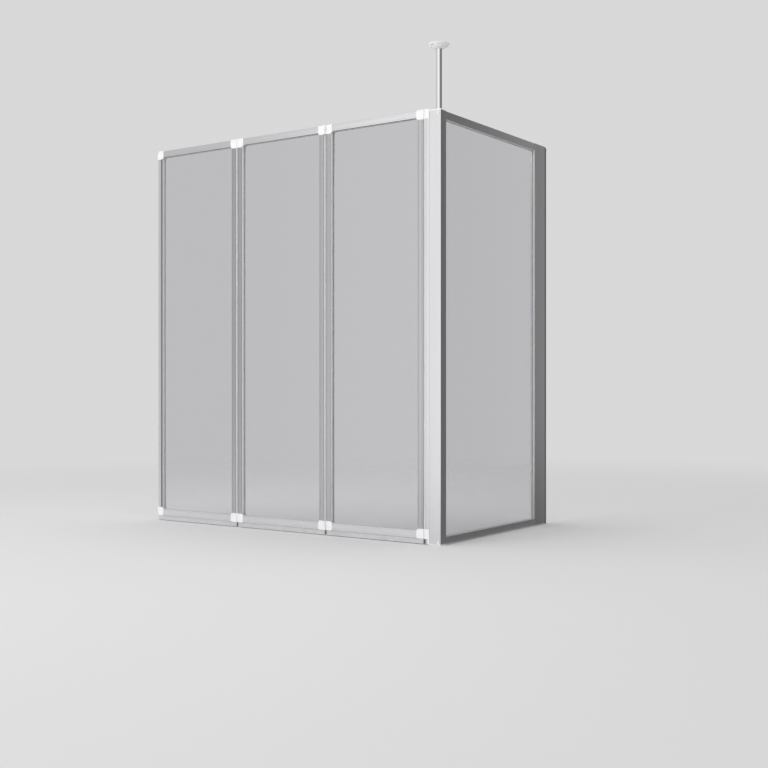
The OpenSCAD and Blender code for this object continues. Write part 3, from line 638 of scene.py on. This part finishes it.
low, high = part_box("fixed_stile")
fixed = bar("fixed_stile_bar", Z, low, high, notches=face_lines(low, first_line),
            radii=corners_of(low, high, 1.2 * MM))
dress(fixed, post_metal, "aluminium", "fixed_stile")
keep(steel, "fixed_stile_screws")

low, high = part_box("right_panel_left_stile")
stile = bar("right_panel_stile_a", Z, low, high,
            notches=face_lines(low, first_line, second_line) + glass_channel(low, high),
            radii=corners_of(low, high, outer_round), rest=0.25 * MM)
# The inner wall beside the glass gets the painted highlight, a painted reflection of bright
# surroundings.
paint_light_on_faces(stile, stile_metal_painted_shade, painted_highlight_metal, lambda at: at.x > high.x - inner_edge)
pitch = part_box("middle_panel_left_stile")[0].x - low.x
uprights = {"right_panel_left_stile": stile,
            "middle_panel_left_stile": copy_of(stile, "middle_panel_stile_a", (pitch, 0, 0))}
for panel in ("right", "middle", "left"):
    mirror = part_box(f"{panel}_panel_right_stile")[1].x + low.x
    uprights[f"{panel}_panel_right_stile"] = copy_of(
        stile, f"{panel}_panel_stile_b", (mirror, 0, 0), flip=X)
for name, piece in uprights.items():
    dress(piece, stile_metal_painted_shade, "aluminium", name)

low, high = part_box("left_panel_free_stile")
flute_low, flute_high, flute_d = low.x + 14.5 * MM, low.x + 23.5 * MM, 3 * MM
flute = [((flute_low, low.y, 0), (flute_high, low.y + flute_d, 0))]
free = bar("left_panel_free_bar", Z, low, high,
           notches=face_lines(low, first_line) + glass_channel(low, high) + flute,
           radii=corners_of(low, high, outer_round)
           + [(outer_round, (x, low.y + flute_d, 0)) for x in (flute_low, flute_high)],
           rest=0.25 * MM)
# Painted shade inside the flute.
paint_light_on_faces(free, free_metal, flute_painted_shade,
             lambda at: flute_low < at.x < flute_high and at.y < low.y + flute_d + 1 * MM)
dress(free, free_metal, "aluminium", "left_panel_free_stile")


# ---- Rails of the front ----------------------------------------------------------------
# The top and bottom rail of each panel are cut from the same kind of bar as the uprights,
# and the corner blocks hold their ends. The top rails' under edge has painted shade.
rail_metal = anodised("anodised_rail", X, 0.90)
shaded_metal = anodised("rail_under_painted_shade", X, 0.36)
low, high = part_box("right_panel_bottom_rail")
centre, upper_line = (low.y + high.y) / 2, 4.5 * MM
rail = bar("right_panel_rail_a", X, low, high, notches=[
    ((0, centre - channel / 2, high.z - panel_channel), (0, centre + channel / 2, high.z))]
    + [((0, low.y, z - line_w / 2), (0, low.y + line_d, z + line_w / 2))
       for z in (low.z + first_line, high.z - upper_line)],
    radii=corners_of(low, high, outer_round, X), rest=0.25 * MM)
rails = {"right_panel_bottom_rail": rail}
for panel in ("right", "middle", "left"):
    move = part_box(f"{panel}_panel_bottom_rail")[0].x - low.x
    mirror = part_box(f"{panel}_panel_top_rail")[1].z + low.z
    if move:
        rails[f"{panel}_panel_bottom_rail"] = copy_of(rail, f"{panel}_panel_rail_a", (move, 0, 0))
    rails[f"{panel}_panel_top_rail"] = copy_of(
        rail, f"{panel}_panel_rail_b", (move, 0, mirror), flip=Z)
for name, piece in rails.items():
    # The top rails get painted shade on their under edge.
    if "top" in name:
        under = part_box(name)[0].z + edge_depth
        paint_light_on_faces(piece, rail_metal, shaded_metal, lambda at: at.z < under)
    dress(piece, rail_metal, "aluminium", name)


# ---- Panes of the front ----------------------------------------------------------------
# Each panel has a clear 3 mm pane, held by the same rubber as the fixed one. The strips
# run the whole length of the stiles and rails and meet inside the corner blocks.
stile_low, stile_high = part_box("right_panel_left_stile")
lower_rail, upper_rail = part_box("right_panel_bottom_rail"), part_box("right_panel_top_rail")
left_edge, right_edge = stile_high.x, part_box("right_panel_right_stile")[0].x
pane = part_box("right_panel_glass")
panel_rubber = rubber_round("right_panel_rubber", pane, Y,
                            ((left_edge, 0, lower_rail[1].z), (right_edge, 0, upper_rail[0].z)),
                            (stile_low.z, stile_high.z), (lower_rail[0].x, lower_rail[1].x))
rubbers = {"right_panel": panel_rubber}
for panel in ("middle_panel", "left_panel"):
    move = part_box(f"{panel}_glass")[0].x - pane[0].x
    rubbers[panel] = copy_of(panel_rubber, f"{panel}_rubber", (move, 0, 0))
for panel, piece in rubbers.items():
    dress(piece, glazing_rubber, "dark_rubber", f"{panel}_gasket")
    keep(glass, f"{panel}_glass")


# ---- Corner and hinge blocks -----------------------------------------------------------
# White plastic blocks hold the corners of each frame with steel screws. They reach a little
# past their stile, round off on the glass side and carry the knuckles of the hinges.
block_w, block_d, block_h = 29.4 * MM, 23 * MM, 31.5 * MM
proud, reach, seam = 1.5 * MM, 1.4 * MM, 2 * MM
knuckle_r, knuckle_h, play = 5 * MM, 15.55 * MM, 0.4 * MM
pin_hole_r, pin_floor = 2.05 * MM, 2 * MM
front_axis, back_axis = -0.75 * MM, block_d + 0.75 * MM
slight, lower_round, inner_round, free_round = 1 * MM, 4 * MM, 9 * MM, 12 * MM
leg_w, leg_foot, leg_overlap = 6 * MM, 1 * MM, 0.2 * MM


def block(name, width, radii, axis=None, outer=False):
    """Lower left-hand block with its low corner at the origin. The radii are those at the
    seam below, the glass side below, the glass side above and the seam above. With an axis
    it has a knuckle at the seam, on its outer or inner half, and room for its neighbour's."""
    corners = ((0, 0, 0), (width, 0, 0), (width, 0, block_h), (0, 0, block_h))
    piece = bar(name, Y, (0, 0, 0), (width, block_d, block_h), radii=list(zip(radii, corners)))
    soften(piece, 0.9 * MM)
    if axis is not None:
        x, halves = reach - seam, [knuckle_h / 2, block_h - knuckle_h / 2]
        own, other = halves if outer else reversed(halves)
        knuckle = rod(Z, knuckle_r, (x, axis, own), knuckle_h, 48)
        soften(knuckle, 0.5 * MM, 2)
        shape(piece, "UNION", knuckle)
        shape(piece, "DIFFERENCE",
              rod(Z, knuckle_r + play, (x, axis, other), knuckle_h + 2 * play, 48))
        shape(piece, "DIFFERENCE",
              rod(Z, pin_hole_r, (x, axis, block_h / 2), block_h - 2 * pin_floor))
    return piece


def place_blocks(name, model):
    """Puts the lower block on its stile, mirrored on a right-hand one, and the same block
    turned over at the top."""
    stile_low, stile_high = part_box(name.replace("hinge_", "").replace("blocks", "stile"))
    right = name.endswith("right_blocks")
    x = stile_high.x + reach if right else stile_low.x - reach
    place = (x, stile_low.y - proud, stile_low.z - block_h)
    lower = copy_of(model, name + "_a", place, flip=X if right else None)
    upper = copy_of(lower, name + "_b", (0, 0, stile_low.z + stile_high.z), flip=Z)
    return join(lower, upper)


stile_low, stile_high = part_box("fixed_stile")
fixed_w = stile_high.x - stile_low.x + reach
hinge_radii = (slight, lower_round, inner_round, slight)
free_radii = (free_round, lower_round, inner_round, slight)
shared = block("block_c", block_w, hinge_radii, back_axis, outer=True)
models = {
    "right_panel_left_blocks": block("block_a", block_w, hinge_radii, front_axis),
    "middle_panel_left_blocks": block("block_b", block_w, hinge_radii, back_axis),
    "right_panel_right_blocks": shared,
    "middle_panel_right_blocks": block("block_d", block_w, hinge_radii, front_axis, outer=True),
    "left_panel_free_blocks": block("block_e", block_w, free_radii),
    "fixed_hinge_blocks": block("block_f", fixed_w, (slight,) * 4, back_axis),
    "left_panel_right_blocks": shared}
for name, model in models.items():
    pair = place_blocks(name, model)
    if name == "fixed_hinge_blocks":
        leg = bar("leg", Z, (stile_high.x - leg_w, stile_low.y - proud, leg_foot),
                  (stile_high.x, stile_high.y + proud, stile_low.z - block_h + leg_overlap),
                  rest=0.8 * MM)
        pair = join(pair, leg)
    dress(pair, white_plastic, "white_plastic", name)
for model in set(models.values()):
    bpy.data.objects.remove(model)
keep(steel, "fixed_block_screws", "right_panel_screws", "middle_panel_screws",
     "left_panel_screws")
keep(steel, "fixed_hinge_pins", "right_panel_hinge_pins", "middle_panel_hinge_pins")


# ---- Soft seals ------------------------------------------------------------------------
# Soft extruded PVC, pushed into grooves: a grey wiper with two lips under each panel, and
# pale beads in the seams and on the free edge.
soft_pvc = rubber("soft_pvc", (0.86, 0.87, 0.88), 0.42)
wiper_pvc = rubber("wiper_pvc", (0.58, 0.58, 0.59), 0.42)
web, lip = 3 * MM, 1.8 * MM


def wiper_gap(low, high):
    """The space between a wiper's two lips."""
    return [((0, low.y + lip, low.z), (0, high.y - lip, high.z - web))]


low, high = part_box("right_panel_bottom_seal")
high.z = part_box("right_panel_right_blocks")[0].z
lip_edges = (low.y, high.y, low.y + lip, high.y - lip)
wiper = bar("right_panel_wiper", X, low, high, notches=wiper_gap(low, high),
            radii=[(0.8 * MM, (0, y, low.z)) for y in lip_edges], rest=0.8 * MM)
wipers = {"right_panel_bottom_seal": wiper}
for panel in ("middle", "left"):
    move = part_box(f"{panel}_panel_bottom_seal")[0].x - low.x
    wipers[f"{panel}_panel_bottom_seal"] = copy_of(wiper, f"{panel}_panel_wiper", (move, 0, 0))
low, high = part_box("fixed_rim_seal")
wipers["fixed_rim_seal"] = bar("fixed_rim_wiper", X, low, high, notches=wiper_gap(low, high),
                               rest=0.8 * MM)
for name, piece in wipers.items():
    dress(piece, wiper_pvc, "soft_seal", name)

grooves = {"fixed_seam_seal": ("fixed_stile", 0),
           "middle_panel_seam_seal": ("middle_panel_right_stile", 1),
           "left_panel_seam_seal": ("left_panel_right_stile", 1),
           "left_panel_edge_seal": ("left_panel_free_stile", 0)}
for name, (stile_name, side) in grooves.items():
    low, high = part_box(name)
    outer_x, stile_x = (low, high)[side].x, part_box(stile_name)[side].x
    low.x, high.x = min(outer_x, stile_x), max(outer_x, stile_x)
    bead = bar(name + "_bead", Z, low, high,
               radii=[(1.2 * MM, (outer_x, y, 0)) for y in (low.y, high.y)], rest=0.2 * MM)
    dress(bead, soft_pvc, "soft_seal", name)


# ---- Floor, backdrop and lamps ---------------------------------------------------------
# A white floor that fades into a pale backdrop, and two soft lamps. Glowing cards, which
# only metal and glass mirror, brighten the front towards the post and keep the side dark.
floor_size, fade_from, fade_to = 24.0, 0.8, 5.0

world = bpy.data.worlds.new("studio")
bpy.context.scene.world = world
world.use_nodes = True
world.node_tree.nodes.clear()
seen = node(world.node_tree, "ShaderNodeLightPath", {}, (), "Is Camera Ray")
sky = blend_colours(world.node_tree, seen, (0.61, 0.61, 0.615), (0.69, 0.69, 0.695))
backdrop = node(world.node_tree, "ShaderNodeBackground", {}, {"Color": sky, "Strength": 1.0})
node(world.node_tree, "ShaderNodeOutputWorld", {}, {"Surface": backdrop})

bpy.ops.object.select_all(action="DESELECT")
bpy.ops.mesh.primitive_plane_add(size=floor_size, location=(0, 0, -0.5 * MM))
floor = bpy.context.active_object
floor.name = "studio_floor"
floor_material, tree = new_material("pale_floor")
away = node(tree, "ShaderNodeVectorMath", {"operation": "LENGTH"},
            {0: node(tree, "ShaderNodeTexCoord", {}, (), "Object")}, 1)
fade = node(tree, "ShaderNodeMapRange", {"interpolation_type": "SMOOTHSTEP"},
            {"Value": away, "From Min": fade_from, "From Max": fade_to})
matt = node(tree, "ShaderNodeBsdfDiffuse", {}, {"Color": (0.79, 0.79, 0.79, 1)})
gone = node(tree, "ShaderNodeBsdfTransparent", {}, {})
cover = node(tree, "ShaderNodeMixShader", {}, {0: fade, 1: matt, 2: gone})
node(tree, "ShaderNodeOutputMaterial", {}, {"Surface": cover})
floor.data.materials.append(floor_material)


def soft_light(name, where, towards, width, height, watts):
    """Rectangular lamp that metal and glass don't mirror."""
    lamp = bpy.data.lights.new(name, "AREA")
    lamp.shape, lamp.size, lamp.size_y = "RECTANGLE", width, height
    lamp.energy = watts
    holder = bpy.data.objects.new(name, lamp)
    holder.location = where
    holder.rotation_euler = (Vector(towards) - Vector(where)).to_track_quat("-Z", "Y").to_euler()
    holder.visible_camera = holder.visible_glossy = holder.visible_transmission = False
    bpy.context.scene.collection.objects.link(holder)


def card(name, turn, where, width, height, along, brightness):
    """Glowing card that only mirroring surfaces see. Its brightness is worked out from the
    place along one axis."""
    bpy.ops.object.select_all(action="DESELECT")
    bpy.ops.mesh.primitive_plane_add(size=1, location=where, rotation=turn)
    made = bpy.context.active_object
    made.name = name
    made.scale = (width, height, 1)
    settle(made)
    material, tree = new_material(name)
    here = node(tree, "ShaderNodeTexCoord", {}, (), "Object")
    place = node(tree, "ShaderNodeSeparateXYZ", {}, (here,), along)
    light = node(tree, "ShaderNodeEmission", {},
                 {"Color": (1, 1, 1, 1), "Strength": brightness(place)})
    node(tree, "ShaderNodeOutputMaterial", {}, {"Surface": light})
    made.data.materials.append(material)
    made.visible_camera = made.visible_transmission = made.visible_shadow = False
    made.visible_diffuse = False


def change(value, start, end, low, high):
    """Smooth change from low at start to high at end."""
    return node(value.tree, "ShaderNodeMapRange", {"interpolation_type": "SMOOTHSTEP"},
                {"Value": value, "From Min": start, "From Max": end, "To Min": low,
                 "To Max": high})


def towards_post(x):
    """Brighter towards the post, with a dip before it."""
    return (change(x, -3.6, -1.9, 0.50, 1.0) - change(x, -1.2, -1.0, 0.0, 0.45)
            + change(x, -0.6, -0.4, 0.0, 0.45))


def darkest_beside(y):
    """Bright in front, dark beside the side panel and slowly brighter behind it."""
    beyond = (y - 2.0).at_least(0.0)
    return (change(y, -1.4, -0.9, 1.0, 0.25) - change(y, 0.6, 1.0, 0.0, 0.195)
            + (beyond * beyond * 0.12).at_most(0.245))


def dim_floor(y):
    return change(y, 0.8, 3.0, 0.14, 0.20)


def even(x):
    """The same all over."""
    return 0.61


quarter = math.radians(90)
card("front_card", (quarter, 0, 0), (-1.7, -3.0, 1.2), 6.6, 5.0, X, towards_post)
card("side_card", (quarter, 0, quarter), (1.6, 1.15, 1.2), 8.3, 5.0, Y, darkest_beside)
card("side_floor_card", (0, 0, 0), (0.815, 2.3, 1 * MM), 1.57, 6.0, Y, dim_floor)
card("back_card", (quarter, 0, 0), (-1.5, 0.8, 0.8), 3.1, 1.6, X, even)
soft_light("key_light", (-2.0, -6.0, 2.4), (-0.5, 0.0, 0.5), 4.0, 3.0, 150)
soft_light("top_light", (-0.5, -0.3, 4.0), (-0.5, 0.2, 0.0), 3.0, 3.0, 40)


# ---- Camera ----------------------------------------------------------------------------
# A level camera below half the screen's height, turned towards the front so that three
# panels show at a slant with the fixed side panel behind the corner post.
camera_data = bpy.data.cameras.new("camera")
camera_data.lens = 54.84
camera = bpy.data.objects.new("camera", camera_data)
camera.location = (2.00825, -3.1885, 0.518)
camera.rotation_euler = (math.radians(90), 0, math.radians(34.83))
bpy.context.scene.collection.objects.link(camera)
bpy.context.scene.camera = camera
bpy.context.scene.view_settings.view_transform = "Standard"
